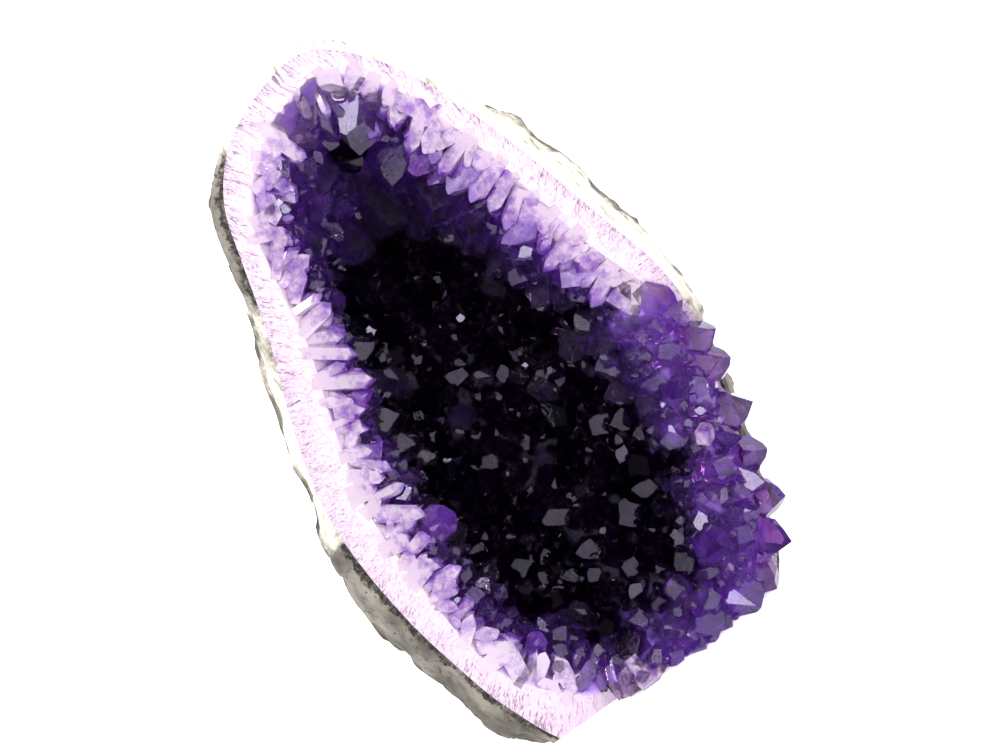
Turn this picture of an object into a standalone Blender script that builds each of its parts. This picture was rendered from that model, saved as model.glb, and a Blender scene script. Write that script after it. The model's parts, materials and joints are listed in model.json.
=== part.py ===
# Standing amethyst geode: a basalt rind, a milky quartz lining sawn flat at the rim,
# and a crust of amethyst crystals in the hollow. Metres, +Z up, the hollow faces -Y.
#
# The sawn face leans back. Places on the stone are given from that face: x to the right,
# t up along the face from the base line, d straight into the stone behind it.

import math
import random

import bmesh
import bpy
import mathutils
from mathutils import Vector, noise

MM = 0.001

# The sawn face and the cut base
LEAN = math.radians(8)                     # how far the sawn face leans back
HEART = Vector((0.0, 83.0))                # middle of the sawn face, x and t, mm
SHIFT = Vector((-0.00543, -0.03177, 0.0))  # puts the origin below the middle, metres
FLOOR_BLOCK = 0.4                          # side of the block that cuts the base, metres
BASE_CLEAR = 0.6                           # the crystals end this far above the base, mm
JOINT = 0.35                               # room between two layers, mm

# Depths behind the sawn face, mm
STONE_DEPTH = 58.0                         # back of the boulder
QUARTZ_DEPTH = 46.0                        # bottom of the quartz lining
HOLLOW_DEPTH = 36.0                        # bottom of the hollow, under its crystals
BELLY_DEPTH = 20.0                         # where the boulder is widest
CREST_DEPTH = 0.5                          # where the hollow rolls over its open edge
OPEN_EDGE = (0.3, 3.8)                     # an edge this deep is sawn, and this deep fully open
CRUST_THICK = 2.8                          # amethyst layer that the crystals grow from

# How the skins curve: the larger the power, the squarer the form
BACK_ROUND = 2.4
QUARTZ_ROUND = 3.4
HOLLOW_ROUND = 3.0
OPEN_ROUND = 1.9                           # the hollow's gentler slope on its open side
CREST_AT = 0.8                             # where the open side rolls over, from 0 to 1
BACK_DROP = 0.30                           # the boulder's middle drops this much per mm of depth
DROP_FROM = 4.0                            # from this depth on, mm

# Meshes: stations around the rim, and rings from the rim inwards
STATIONS = 56
STONE_RINGS = 12
QUARTZ_RINGS = 5
HOLLOW_RINGS = 7
RING_CROWD = 1.15                          # above 1, rings lie closer together near the edge

# Lumps and pits of the boulder: size across and height, mm
LUMPS = ((34.0, 3.4), (15.0, 2.4), (7.0, 0.9))
LEDGE_STEP = 1.6
LEDGE_SHARE = 0.45                         # how much of a lump is stepped
RIM_LUMP = 0.35                            # lumps are this much lower along the sawn rim
DEPTH_LUMP = 0.4                           # and this much lower along the depth

# Crystals: sizes in mm, and shares of their own size
CRYSTAL_SEED = 41
CRYSTAL_TRIES = 5000
CRYSTAL_ACROSS = (5.4, 9.2)                # narrowest and widest crystal
CRYSTAL_TALL = (0.7, 1.05)                 # height over width
NEAR_RIM = (0.7, 0.9)                      # crystals from here to here count as near the rim
RIM_GROWTH = 0.45                          # crystals near the sawn rim are this much longer
RIM_ROW = 0.975                            # where the outermost crystals stand, from 0 to 1
RIM_TRIES = 400                            # places tried for them
FORWARD = 0.25                             # crystals lean this much out of the hollow
RIM_FORWARD = 0.4                          # and this much more near the sawn rim
CRYSTAL_SPACE = 0.43                       # middles lie this share of two widths apart
CRYSTAL_LEAN = 0.22                        # scatter of the crystals' directions
SHOULDER_OUT = (0.72, 0.9)                 # where a crystal's sides end, out from its axis
SHOULDER_UP = (0.30, 0.55)                 # and up along it
TIP_OFF = 0.10                             # how far a tip lies beside its axis
SAW_CLEAR = 0.3                            # sawn crystals end this far behind the sawn face
SAW_FROM = 76.0                            # the saw cut the right edge down to this height
SAW_LEFT = -12.0                           # and everything left of this
MIDDLE_V = 0.05                            # no crystal stands nearer the middle than this
SPREAD = 0.7                               # below 1, more of the crystals stand near the edge
AIM = 1.5                                  # a crystal that stands out follows its own lean
SEARCH_STEPS = 30                          # places looked at from the middle to the edge
PROFILE_STEPS = 12
SLOPE_STEP = 0.004

# The rim, from the top down the left side, along the bottom and up the right side, mm:
# x, t, width of the rock, width of the quartz, depth of the edge, swell of the boulder
RIM = (
    (8, 179, 1.5, 6.5, 0, 3), (-7, 175.5, 1.5, 7.5, 0, 3), (-20, 169, 2.5, 8.5, 0, 4),
    (-29.5, 160, 5, 9, 0, 4), (-33.5, 146, 4.5, 9.5, 0, 4), (-37.5, 125, 2.5, 10, 0, 2.5),
    (-43.5, 103, 1.2, 9.5, 0, 1.5), (-48.5, 82, 1.5, 9.5, 0, 1.5), (-50.5, 64, 3.5, 9, 0, 3.5),
    (-47.5, 44, 3.5, 9, 0, 6.5), (-43, 27, 3.5, 8, 0, 5.5), (-37, 11, 3, 8, 0, 4),
    (-27, -6, 3, 13, 0, 5), (-9, -15, 3, 15, 1, 6), (12, -16, 3, 16, 3, 5),
    (30, -11, 3, 11.5, 4, 4), (44, 2, 1.5, 3, 8, 3), (50, 16, 1.5, 3, 11, 2),
    (55, 34, 1.5, 3, 12, 1), (59, 54, 1.5, 3, 11, 1), (61, 72, 2, 3.5, 5, 2),
    (58, 88, 2, 6.5, 0, 6), (52.5, 105, 2, 7.5, 0, 9), (46, 124, 2, 7.5, 0, 11),
    (39, 142, 2, 7, 0, 10), (29.5, 160, 1.5, 6.5, 0, 6), (19.5, 172.5, 1.5, 6, 0, 4),
)

# Crystals that stand out: x, t, width, height, lean to the right and up in degrees
LANDMARKS = (
    (-6, 150, 13, 8, 20, -5), (3, 158, 10, 11, 5, -35), (-2, 166, 8, 8, 0, -30),
    (-19, 103, 11, 9, 30, 5), (-30, 96, 12, 10, 35, 0), (-31, 60, 9, 12, 45, 10),
    (29, 132, 11, 8, -30, -10), (20, 140, 9, 8, -15, -20), (12, 128, 10, 8, 0, 10),
    (40, 104, 12, 8, -35, 0), (47, 92, 11, 7, -25, 5), (54, 78, 10, 7, 15, 10),
    (60, 68, 10, 9, 55, 10), (58, 56, 10, 9, 60, 0), (56, 44, 11, 10, 60, 0),
    (54, 32, 10, 9, 60, -5), (51, 19, 10, 10, 55, -15), (44, 9, 11, 9, 35, -25),
    (29, 6, 11, 8, 10, -30), (50, 60, 10, 8, 25, 5), (57, 78, 9, 8, 40, 20),
    (15, 5, 10, 8, 0, -35), (2, 7, 9, 7, -5, -20), (44, 28, 10, 8, 20, 0),
    (32, 18, 10, 8, 5, 0), (36, 40, 10, 8, 10, 10), (20, 22, 10, 8, -5, 10),
)


def world(x, t, d):
    """A place on the stone, mm, turned into metres on the stand."""
    y = t * math.sin(LEAN) + d * math.cos(LEAN)
    z = t * math.cos(LEAN) - d * math.sin(LEAN)
    return Vector((x, y, z)) * MM + SHIFT


def on_stone(point):
    """The way back from metres on the stand to x, t and d on the stone."""
    p = (point - SHIFT) / MM
    t = p.y * math.sin(LEAN) + p.z * math.cos(LEAN)
    d = p.y * math.cos(LEAN) - p.z * math.sin(LEAN)
    return p.x, t, d


def smooth(value):
    value = min(1.0, max(0.0, value))
    return value * value * (3.0 - 2.0 * value)


def rim_at(position):
    """One row of the rim at a place between 0 and 1 around it, on a smooth closed curve."""
    turn = (position % 1.0) * len(RIM)
    i = int(turn)
    f = turn - i
    rows = [RIM[(i + k) % len(RIM)] for k in (-1, 0, 1, 2)]
    return [0.5 * (2 * b + (c - a) * f + (2 * a - 5 * b + 4 * c - d) * f * f
                   + (3 * b - a - 3 * c + d) * f ** 3) for a, b, c, d in zip(*rows)]


class Station:
    """One direction from the middle of the sawn face out to the rim."""

    def __init__(self, position):
        x, t, self.rock, self.quartz, self.edge, self.swell = rim_at(position)
        self.arm = Vector((x, t)) - HEART
        self.reach = self.arm.length
        self.open = smooth((self.edge - OPEN_EDGE[0]) / (OPEN_EDGE[1] - OPEN_EDGE[0]))

    def at(self, share, d):
        spot = HEART + self.arm * share
        return spot.x, spot.y, d

    def stone(self, v):
        """The boulder's skin from its rim, v = 0, to its back, v = 1."""
        d = STONE_DEPTH * math.sin(v * math.pi / 2)
        belly = math.sin(min(1, d / BELLY_DEPTH) * math.pi / 2)
        wide = 1 + self.swell / self.reach * belly
        if d > BELLY_DEPTH:
            behind = (d - BELLY_DEPTH) / (STONE_DEPTH - BELLY_DEPTH)
            wide *= max(0.0, 1 - behind ** BACK_ROUND) ** (1 / BACK_ROUND)
        x, t, d = self.at(wide, self.edge + d * (STONE_DEPTH - self.edge) / STONE_DEPTH)
        return x, t - BACK_DROP * max(0.0, d - DROP_FROM), d

    def quartz_back(self, v):
        """Where quartz meets rock, from the rim, v = 1, to the deepest point, v = 0."""
        share = (1 - self.rock / self.reach) * v
        return self.at(share, self.edge + (QUARTZ_DEPTH - self.edge) * (1 - v ** QUARTZ_ROUND))

    def hollow(self, v):
        """Where the amethyst grows from: a trough that rolls over the open lower right edge."""
        share = (1 - (self.rock + self.quartz) / self.reach) * v
        crest = 1 - (1 - CREST_AT) * self.open
        crest_depth = CREST_DEPTH * self.open
        if v <= crest:
            power = HOLLOW_ROUND + (OPEN_ROUND - HOLLOW_ROUND) * self.open
            fall = 1 - (v / crest) ** power
            return self.at(share, crest_depth + (HOLLOW_DEPTH - crest_depth) * fall)
        roll = smooth((v - crest) / (1 - crest))
        return self.at(share, crest_depth + (self.edge - crest_depth) * roll)


def lump(point):
    """How far the boulder's skin stands out at a place in mm: lumps, ledges and pits."""
    height = 0.0
    for across, rise in LUMPS:
        height += rise * noise.noise(Vector(point) / across)
    ledge = math.floor(height / LEDGE_STEP) * LEDGE_STEP
    return height + (ledge - height) * LEDGE_SHARE


def face_out(bm):
    bmesh.ops.recalc_face_normals(bm, faces=bm.faces)
    if bm.calc_volume(signed=True) < 0:
        bmesh.ops.reverse_faces(bm, faces=bm.faces)


def ring_mesh(rings, start=None, end=None):
    """A skin over rings of points, closed at each end by one point where it is given."""
    bm = bmesh.new()
    rows = [[bm.verts.new(world(*p)) for p in ring] for ring in rings]
    for low, high in zip(rows, rows[1:]):
        for i in range(STATIONS):
            j = (i + 1) % STATIONS
            bm.faces.new((low[i], low[j], high[j], high[i]))
    for row, tip in ((rows[0], start), (rows[-1], end)):
        if tip is not None:
            pole = bm.verts.new(world(*tip))
            for i in range(STATIONS):
                bm.faces.new((row[i], row[(i + 1) % STATIONS], pole))
    face_out(bm)
    return bm


def push(rings, tip, amount):
    """Rings and tip moved along the skin's own normals by some mm, towards the viewer."""
    bm = ring_mesh(rings, end=tip)
    bm.normal_update()
    bm.verts.ensure_lookup_table()
    if bm.verts[-1].normal.y > 0:
        bmesh.ops.reverse_faces(bm, faces=bm.faces)
        bm.normal_update()
    moved = [on_stone(v.co + v.normal * amount * MM) for v in bm.verts]
    bm.free()
    count = len(rings)
    return [moved[k * STATIONS:(k + 1) * STATIONS] for k in range(count)], moved[-1]


def material(name, colour, roughness):
    mat = bpy.data.materials.new(name)
    mat.use_nodes = True
    shader = mat.node_tree.nodes["Principled BSDF"]
    shader.inputs["Base Color"].default_value = (*colour, 1)
    shader.inputs["Roughness"].default_value = roughness
    shader.inputs["Metallic"].default_value = 0
    mat.diffuse_color = (*colour, 1)
    return mat


def make_object(name, bm, mat=None):
    mesh = bpy.data.meshes.new(name)
    bm.to_mesh(mesh)
    bm.free()
    obj = bpy.data.objects.new(name, mesh)
    bpy.context.scene.collection.objects.link(obj)
    if mat:
        mesh.materials.append(mat)
    return obj


def floor_block():
    """Everything below the base, to cut with."""
    bm = bmesh.new()
    bmesh.ops.create_cube(bm, size=FLOOR_BLOCK)
    bmesh.ops.translate(bm, verts=bm.verts, vec=(0, 0, -FLOOR_BLOCK / 2))
    obj = make_object("base_cut", bm)
    obj.hide_render = True
    obj.display_type = "WIRE"
    return obj


def cut(obj, tool):
    modifier = obj.modifiers.new(tool.name, "BOOLEAN")
    modifier.operation = "DIFFERENCE"
    modifier.object = tool


def rind(stations, mat):
    """The rock: its skin from the back round to the rim, then in along the quartz."""
    outer = []
    for k in range(STONE_RINGS):
        ring = []
        for station in stations:
            x, t, d = station.stone(k / STONE_RINGS)
            rise = lump((x, t, d)) * (RIM_LUMP if k == 0 else 1)
            x, t = HEART + (Vector((x, t)) - HEART) * (1 + rise / station.reach)
            if k > 0:
                d += DEPTH_LUMP * lump((d, x, t))
            ring.append((x, t, d))
        outer.insert(0, ring)
    back = (HEART.x, HEART.y - BACK_DROP * (STONE_DEPTH - DROP_FROM), STONE_DEPTH)
    inner, bottom = quartz_skin(stations)
    return make_object("basalt_rind", ring_mesh(outer + inner, start=back, end=bottom), mat)


def quartz_skin(stations):
    steps = [1 - k / QUARTZ_RINGS for k in range(QUARTZ_RINGS)]
    rings = [[s.quartz_back(v) for s in stations] for v in steps]
    return rings, (HEART.x, HEART.y, QUARTZ_DEPTH)


def hollow_skin(stations):
    """Rings of the hollow from its edge inwards, closer together near the edge."""
    steps = [1 - (k / HOLLOW_RINGS) ** RING_CROWD for k in range(HOLLOW_RINGS)]
    rings = [[s.hollow(v) for s in stations] for v in steps]
    return rings, (HEART.x, HEART.y, HOLLOW_DEPTH)


def lining(stations, mat):
    """The milky quartz between the rock and the hollow, with its sawn rim."""
    back, back_tip = quartz_skin(stations)
    back, back_tip = push(back, back_tip, JOINT)
    back[0] = [s.at(1 - (s.rock + JOINT) / s.reach, s.edge) for s in stations]
    back.reverse()
    front, front_tip = hollow_skin(stations)
    return make_object("quartz_lining", ring_mesh(back + front, start=back_tip, end=front_tip), mat)


class Spot:
    """A place on top of the amethyst layer where a crystal stands, or a point of its edge."""

    def __init__(self, position, v):
        station = Station(position)
        self.v = v
        self.open = station.open
        ahead = world(*Station(position + SLOPE_STEP).hollow(v))
        behind = world(*Station(position - SLOPE_STEP).hollow(v))
        inner = world(*station.hollow(v - SLOPE_STEP))
        outer = world(*station.hollow(min(1, v + SLOPE_STEP)))
        self.normal = (ahead - behind).cross(inner - outer).normalized()
        self.top = world(*station.hollow(v)) + self.normal * CRUST_THICK * MM
        # The hollow rolled out flat: the same direction, at the length of the slope
        profile = [world(*station.hollow(v * k / PROFILE_STEPS)) for k in range(PROFILE_STEPS + 1)]
        length = sum((b - a).length for a, b in zip(profile, profile[1:]))
        self.flat = station.arm.normalized() * length / MM


def find_spot(x, t):
    """The spot of the layer that lies nearest to x and t on the sawn face."""
    def off(turn_and_v):
        here = Station(turn_and_v[0]).hollow(turn_and_v[1])
        return math.hypot(here[0] - x, here[1] - t)

    turns = [i / (2 * STATIONS) for i in range(2 * STATIONS)]
    depths = [k / SEARCH_STEPS for k in range(2, SEARCH_STEPS - 1)]
    return Spot(*min(((turn, v) for turn in turns for v in depths), key=off))


def find_crystals(rng):
    """Where the crystals stand: the ones that stand out first, then others between them."""
    found = []
    for x, t, across, height, right, up in LANDMARKS:
        spot = find_spot(x, t)
        spot.across = across
        spot.height = height
        lean = Vector((math.sin(math.radians(right)), -1, math.sin(math.radians(up))))
        spot.axis = (spot.normal + lean.normalized() * AIM).normalized()
        found.append(spot)
    for i in range(CRYSTAL_TRIES):
        turn = rng.random()
        v = MIDDLE_V + (RIM_ROW - MIDDLE_V) * rng.random() ** SPREAD
        spot = Spot(turn, RIM_ROW if i < RIM_TRIES else v)
        near_rim = smooth((spot.v - NEAR_RIM[0]) / (NEAR_RIM[1] - NEAR_RIM[0])) * (1 - spot.open)
        spot.across = rng.uniform(*CRYSTAL_ACROSS)
        spot.height = spot.across * rng.uniform(*CRYSTAL_TALL) * (1 + RIM_GROWTH * near_rim)
        lean = Vector([rng.gauss(0, CRYSTAL_LEAN) for _ in range(3)])
        forward = Vector((0, -FORWARD - RIM_FORWARD * near_rim, 0))
        spot.axis = (spot.normal + lean + forward).normalized()
        if all((spot.top - other.top).length > CRYSTAL_SPACE * (spot.across + other.across) * MM
               for other in found):
            found.append(spot)
    return found


def sawn(point):
    """The point, or the one on the saw cut or the crystals' cut foot where it would pass them."""
    x, t, d = on_stone(point)
    if t > SAW_FROM or x < SAW_LEFT:
        d = max(d, SAW_CLEAR)
    point = world(x, t, d)
    point.z = max(point.z, BASE_CLEAR * MM)
    return point


def neighbours(crystals, edge):
    """Groups of three spots that stand next to each other, without crystals past the edge."""
    while True:
        spots = crystals + edge
        outline = list(range(len(crystals), len(spots)))
        found = mathutils.geometry.delaunay_2d_cdt([s.flat for s in spots], [], [outline], 1, 1e-5)
        source = [names[0] for names in found[3]]
        triangles = [tuple(source[i] for i in t) for t in found[2]]
        sides = {pair for t in triangles for pair in zip(t, t[1:] + t[:1])}
        inside = {a for a, b in sides if (b, a) in sides}
        past = {a for a, b in sides if (b, a) not in sides and a < len(crystals)}
        kept = [spot for i, spot in enumerate(crystals) if i in inside and i not in past]
        if len(kept) == len(crystals):
            return crystals, spots, triangles
        crystals = kept


def crust(stations, mat):
    """The amethyst layer, with every crystal a ring of flat faces around its own tip."""
    rng = random.Random(CRYSTAL_SEED)
    skin, skin_tip = hollow_skin(stations)
    back, back_tip = push(skin, skin_tip, JOINT)
    top, top_tip = push(skin, skin_tip, CRUST_THICK)
    edge = [Spot(i / STATIONS, 1.0) for i in range(STATIONS)]
    for spot, point in zip(edge, top[0]):
        spot.top = sawn(world(*point))
    crystals, spots, triangles = neighbours(find_crystals(rng), edge)

    bm = bmesh.new()
    rows = [[bm.verts.new(world(*p)) for p in ring] for ring in back]
    pole = bm.verts.new(world(*back_tip))
    rim = [bm.verts.new(spot.top) for spot in edge]
    for low, high in zip([rim] + rows, rows):
        for i in range(STATIONS):
            j = (i + 1) % STATIONS
            bm.faces.new((low[i], low[j], high[j], high[i]))
    for i in range(STATIONS):
        bm.faces.new((rows[-1][i], rows[-1][(i + 1) % STATIONS], pole))

    # Valleys between crystals: one point for each group of three neighbours
    valleys = {}
    beside = {}
    for triangle in triangles:
        middle = sum((spots[i].top for i in triangle), Vector()) / 3
        valleys[triangle] = bm.verts.new(sawn(middle))
        for a, b in zip(triangle, triangle[1:] + triangle[:1]):
            beside[a, b] = valleys[triangle]
    tips = {}
    shoulders = {}
    for (a, b), left in beside.items():
        right = beside.get((b, a))
        if a >= len(crystals):
            corner = rim[a - len(crystals)]
            if right:
                bm.faces.new((corner, right, left))
            else:
                bm.faces.new((corner, rim[b - len(crystals)], left))
            continue
        spot = spots[a]
        if a not in tips:
            off = Vector([rng.uniform(-1, 1) for _ in range(3)]) * TIP_OFF * spot.across * MM
            tips[a] = bm.verts.new(sawn(spot.top + spot.axis * spot.height * MM + off))
        for valley in (left, right):
            if (a, valley) not in shoulders:
                out = (valley.co - spot.top) * rng.uniform(*SHOULDER_OUT)
                up = spot.axis * spot.height * MM * rng.uniform(*SHOULDER_UP)
                shoulders[a, valley] = bm.verts.new(sawn(spot.top + out + up))
        low, high = shoulders[a, left], shoulders[a, right]
        bm.faces.new((right, left, low, high))
        bm.faces.new((high, low, tips[a]))
    face_out(bm)
    return make_object("amethyst_crust", bm, mat)


def build():
    for obj in list(bpy.data.objects):
        bpy.data.objects.remove(obj, do_unlink=True)
    stations = [Station(i / STATIONS) for i in range(STATIONS)]
    floor = floor_block()
    rock = rind(stations, material("basalt", (0.30, 0.27, 0.23), 0.85))
    quartz = lining(stations, material("milky_quartz", (0.86, 0.78, 0.87), 0.35))
    crust(stations, material("amethyst", (0.13, 0.05, 0.26), 0.12))
    cut(rock, floor)
    cut(quartz, floor)


build()
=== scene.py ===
import json
import math
import random

import bmesh
import bpy
from mathutils import Matrix, Vector, kdtree, noise

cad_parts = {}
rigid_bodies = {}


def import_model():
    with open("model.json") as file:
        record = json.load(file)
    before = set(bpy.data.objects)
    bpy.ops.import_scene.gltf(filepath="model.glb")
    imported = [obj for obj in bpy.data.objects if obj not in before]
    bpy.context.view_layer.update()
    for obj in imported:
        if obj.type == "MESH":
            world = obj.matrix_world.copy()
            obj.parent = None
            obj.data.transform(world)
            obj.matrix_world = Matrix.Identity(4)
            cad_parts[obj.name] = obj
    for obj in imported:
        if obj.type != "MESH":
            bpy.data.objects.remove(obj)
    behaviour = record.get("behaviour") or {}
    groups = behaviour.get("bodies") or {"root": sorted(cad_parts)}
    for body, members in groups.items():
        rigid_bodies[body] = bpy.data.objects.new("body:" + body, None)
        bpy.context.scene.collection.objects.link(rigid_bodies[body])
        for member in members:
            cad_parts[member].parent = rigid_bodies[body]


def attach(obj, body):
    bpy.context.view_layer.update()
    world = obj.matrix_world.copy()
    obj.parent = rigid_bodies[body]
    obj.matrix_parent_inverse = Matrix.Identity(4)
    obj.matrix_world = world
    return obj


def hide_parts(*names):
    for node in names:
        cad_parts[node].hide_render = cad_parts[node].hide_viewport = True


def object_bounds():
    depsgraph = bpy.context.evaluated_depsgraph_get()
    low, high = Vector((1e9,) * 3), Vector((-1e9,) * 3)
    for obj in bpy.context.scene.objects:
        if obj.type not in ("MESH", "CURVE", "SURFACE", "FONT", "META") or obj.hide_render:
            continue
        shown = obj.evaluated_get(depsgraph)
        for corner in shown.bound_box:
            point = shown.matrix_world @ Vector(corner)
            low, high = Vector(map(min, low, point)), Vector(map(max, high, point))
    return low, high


# The looks of a standing amethyst geode. Lengths are in mm on the stone and metres in the meshes.

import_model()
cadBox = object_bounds()
scene = bpy.context.scene

# The stone's own coordinates are x to the right, t up along the sawn face and d into the stone.
stone = {
    "lean": math.radians(8),              # how far the sawn face leans back
    "heart": Vector((0.0, 83.0)),         # middle of the sawn face
    "shift": Vector((-5.43, -31.77, 0)),  # puts the origin below the middle
    "depth": 58.0, "quartzDepth": 46.0, "hollowDepth": 36.0, "belly": 20.0,
    "crestDepth": 0.5, "crestAt": 0.8, "openEdge": (0.3, 3.8),
    "backRound": 2.4, "quartzRound": 3.4, "hollowRound": 3.0, "openRound": 1.9,
    "backDrop": 0.30, "dropFrom": 4.0,
    "joint": 0.04,                        # room between the layers
    "bed": 2.6,                           # amethyst that the crystals grow from
    "leastPale": 0.3, "deepReach": 36,    # narrowest pale zone, and how far the violet darkens
    "grid": (112, 30),                    # places around and inwards that a landmark may take
    "boxEase": 0.002, "boxGap": 0.0002,   # metres: how rock near the solid's box is pressed in
}

# Around the rim: x, t, rock width, quartz width, edge depth, swell of the boulder, how far in
# from the rim the pale and the violet crystals reach, and how much white lies on the rock there,
# partly a real chalky coating and partly painted light: the washed-out glare on the lit skin
rimRows = (
    (8, 179, 1.5, 6.5, 0, 3, 1.5, 43, 0.8), (-7, 175.5, 1.5, 7.5, 0, 3, 1.5, 44, 0.9),
    (-20, 169, 2.5, 8.5, 0, 4, 2.5, 42, 0.7), (-29.5, 160, 5, 9, 0, 4, 4, 36, 0.1),
    (-33.5, 146, 4.5, 9.5, 0, 4, 6, 27, 0.0), (-37.5, 125, 2.5, 10, 0, 2.5, 7, 26, 0.6),
    (-43.5, 103, 1.2, 9.5, 0, 1.5, 7, 28, 0.9), (-48.5, 82, 1.5, 9.5, 0, 1.5, 6, 28, 0.9),
    (-50.5, 64, 3.5, 9, 0, 3.5, 6, 28, 0.2), (-47.5, 44, 3.5, 9, 0, 6.5, 5, 27, 0.0),
    (-43, 27, 3.5, 8, 0, 5.5, 4.5, 27, 0.0), (-37, 11, 3, 8, 0, 4, 2, 26, 0.0),
    (-27, -6, 3, 13, 0, 5, 1.2, 24, 0.0), (-9, -15, 3, 11, 1, 6, 0.8, 22, 0.2),
    (12, -16, 3, 8, 3, 5, 0.5, 20, 0.3), (30, -11, 3, 6, 4, 4, 0.3, 23, 0.4),
    (44, 2, 1.5, 3, 8, 3, 0.3, 30, 0.3), (50, 16, 1.5, 3, 11, 2, 0.3, 32, 0.2),
    (55, 34, 1.5, 3, 12, 1, 0.3, 30, 0.2), (59, 54, 1.5, 3, 11, 1, 0.3, 29, 0.3),
    (61, 72, 2, 3.5, 5, 2, 1, 28, 0.6), (58, 88, 2, 6.5, 0, 6, 5, 26, 0.8),
    (52.5, 105, 2, 7.5, 0, 9, 8, 25, 0.9), (46, 124, 2, 7.5, 0, 11, 7, 26, 1.0),
    (39, 142, 2, 7, 0, 10, 5, 31, 1.0), (29.5, 160, 1.5, 6.5, 0, 6, 3, 37, 0.9),
    (19.5, 172.5, 1.5, 6, 0, 4, 1.5, 41, 0.8),
)

# Crystals that stand out: x, t, width, height, lean to the right and up in degrees, and finish
landmarks = (
    (-3, 153, 13, 8, 20, -15, "violet"), (7, 157, 10, 12, 5, -35, "deep"),
    (3, 165, 8, 8, 0, -30, "violet"), (18, 147, 13, 13, -10, -25, "violet"),
    (9, 138, 13, 12, -5, -15, "violet"), (27, 143, 11, 9, -30, -15, "pale"),
    (13, 161, 11, 12, -5, -35, "violet"), (4, 134, 11, 9, 5, 10, "deep"),
    (-16, 140, 10, 9, 30, 0, "violet"), (-18, 122, 10, 9, 25, 0, "deep"),
    (-19, 112, 9, 9, 30, 10, "deep"), (31, 132, 10, 8, -30, -10, "pale"),
    (29, 120, 12, 11, -20, 5, "violet"), (40, 113, 12, 8, -35, 0, "pale"),
    (43, 95, 11, 7, -25, 5, "pale"), (50, 84, 11, 7, -10, 10, "pale"),
    (-27, 93, 14, 10, 35, 0, "violet"), (-34, 61, 10, 13, 45, 10, "pale"),
    (60, 68, 10, 9, 55, 10, "violet"), (58, 56, 10, 9, 60, 0, "violet"),
    (56, 44, 11, 10, 60, 0, "violet"), (54, 32, 10, 9, 60, -5, "violet"),
    (51, 19, 10, 10, 55, -15, "violet"), (44, 9, 11, 9, 35, -25, "violet"),
    (29, 6, 11, 8, 10, -30, "violet"), (50, 60, 10, 8, 25, 5, "violet"),
    (57, 78, 9, 8, 40, 20, "violet"), (15, 5, 10, 8, 0, -35, "violet"),
    (2, 7, 9, 7, -5, -20, "deep"), (44, 28, 10, 8, 20, 0, "violet"),
    (32, 18, 10, 8, 5, 0, "violet"), (36, 40, 10, 8, 10, 10, "deep"),
    (20, 22, 10, 8, -5, 10, "deep"), (58, 85, 9, 8, 65, 20, "violet"),
    (59, 90, 8, 6, 60, 30, "violet"), (23, 133, 13, 12, -15, -10, "violet"),
    (-5, 134, 12, 11, 15, 0, "violet"),
)


def world(x, t, d):
    lean = stone["lean"]
    y = t * math.sin(lean) + d * math.cos(lean)
    z = t * math.cos(lean) - d * math.sin(lean)
    return (Vector((x, y, z)) + stone["shift"]) * 0.001


def onStone(point):
    lean = stone["lean"]
    p = point * 1000 - stone["shift"]
    t = p.y * math.sin(lean) + p.z * math.cos(lean)
    return p.x, t, p.y * math.cos(lean) - p.z * math.sin(lean)


def inBox(point):  # eases a point of the rock back inside the solid's box, apart from its base
    low, high = cadBox
    ease = stone["boxEase"]
    room = ease + stone["boxGap"]
    for i in range(3):
        for side, limit in ((1, high[i]), (-1, low[i])):
            over = (point[i] - limit) * side + room
            if over > 0 and (i, side) != (2, -1):
                point[i] = limit + side * (ease * (1 - math.exp(-over / ease)) - room)
    return point


def smooth(value):
    value = min(1.0, max(0.0, value))
    return value * value * (3.0 - 2.0 * value)


def rimAt(position):
    turn = (position % 1.0) * len(rimRows)
    i = int(turn)
    f = turn - i
    rows = [rimRows[(i + k) % len(rimRows)] for k in (-1, 0, 1, 2)]
    return [0.5 * (2 * b + (c - a) * f + (2 * a - 5 * b + 4 * c - d) * f * f
                   + (3 * b - a - 3 * c + d) * f ** 3) for a, b, c, d in zip(*rows)]


class Station:  # one direction from the middle of the sawn face out to the rim

    def __init__(self, position):
        row = rimAt(position)
        x, t, self.rock, self.quartz, self.edge, self.swell = row[:6]
        self.pale, self.violet, self.coat = row[6:]
        self.arm = Vector((x, t)) - stone["heart"]
        self.reach = self.arm.length
        low, high = stone["openEdge"]
        self.open = smooth((self.edge - low) / (high - low))

    def at(self, share, d):
        spot = stone["heart"] + self.arm * share
        return spot.x, spot.y, d

    def skin(self, v):  # the boulder from its rim, v = 0, to its back, v = 1
        depth, belly = stone["depth"], stone["belly"]
        d = depth * math.sin(v * math.pi / 2)
        wide = 1 + self.swell / self.reach * math.sin(min(1, d / belly) * math.pi / 2)
        if d > belly:
            power = stone["backRound"]
            wide *= max(0.0, 1 - ((d - belly) / (depth - belly)) ** power) ** (1 / power)
        x, t, d = self.at(wide, self.edge + d * (depth - self.edge) / depth)
        return x, t - stone["backDrop"] * max(0.0, d - stone["dropFrom"]), d

    def quartzBack(self, v):  # where quartz meets rock
        share = (1 - self.rock / self.reach) * v
        deep = stone["quartzDepth"] - self.edge
        return self.at(share, self.edge + deep * (1 - v ** stone["quartzRound"]))

    def hollow(self, v):  # where the amethyst starts: a trough with one open side
        share = (1 - (self.rock + self.quartz) / self.reach) * v
        crest = 1 - (1 - stone["crestAt"]) * self.open
        crestDepth = stone["crestDepth"] * self.open
        if v <= crest:
            power = stone["hollowRound"] + (stone["openRound"] - stone["hollowRound"]) * self.open
            fall = 1 - (v / crest) ** power
            return self.at(share, crestDepth + (stone["hollowDepth"] - crestDepth) * fall)
        roll = smooth((v - crest) / (1 - crest))
        return self.at(share, crestDepth + (self.edge - crestDepth) * roll)


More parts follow.
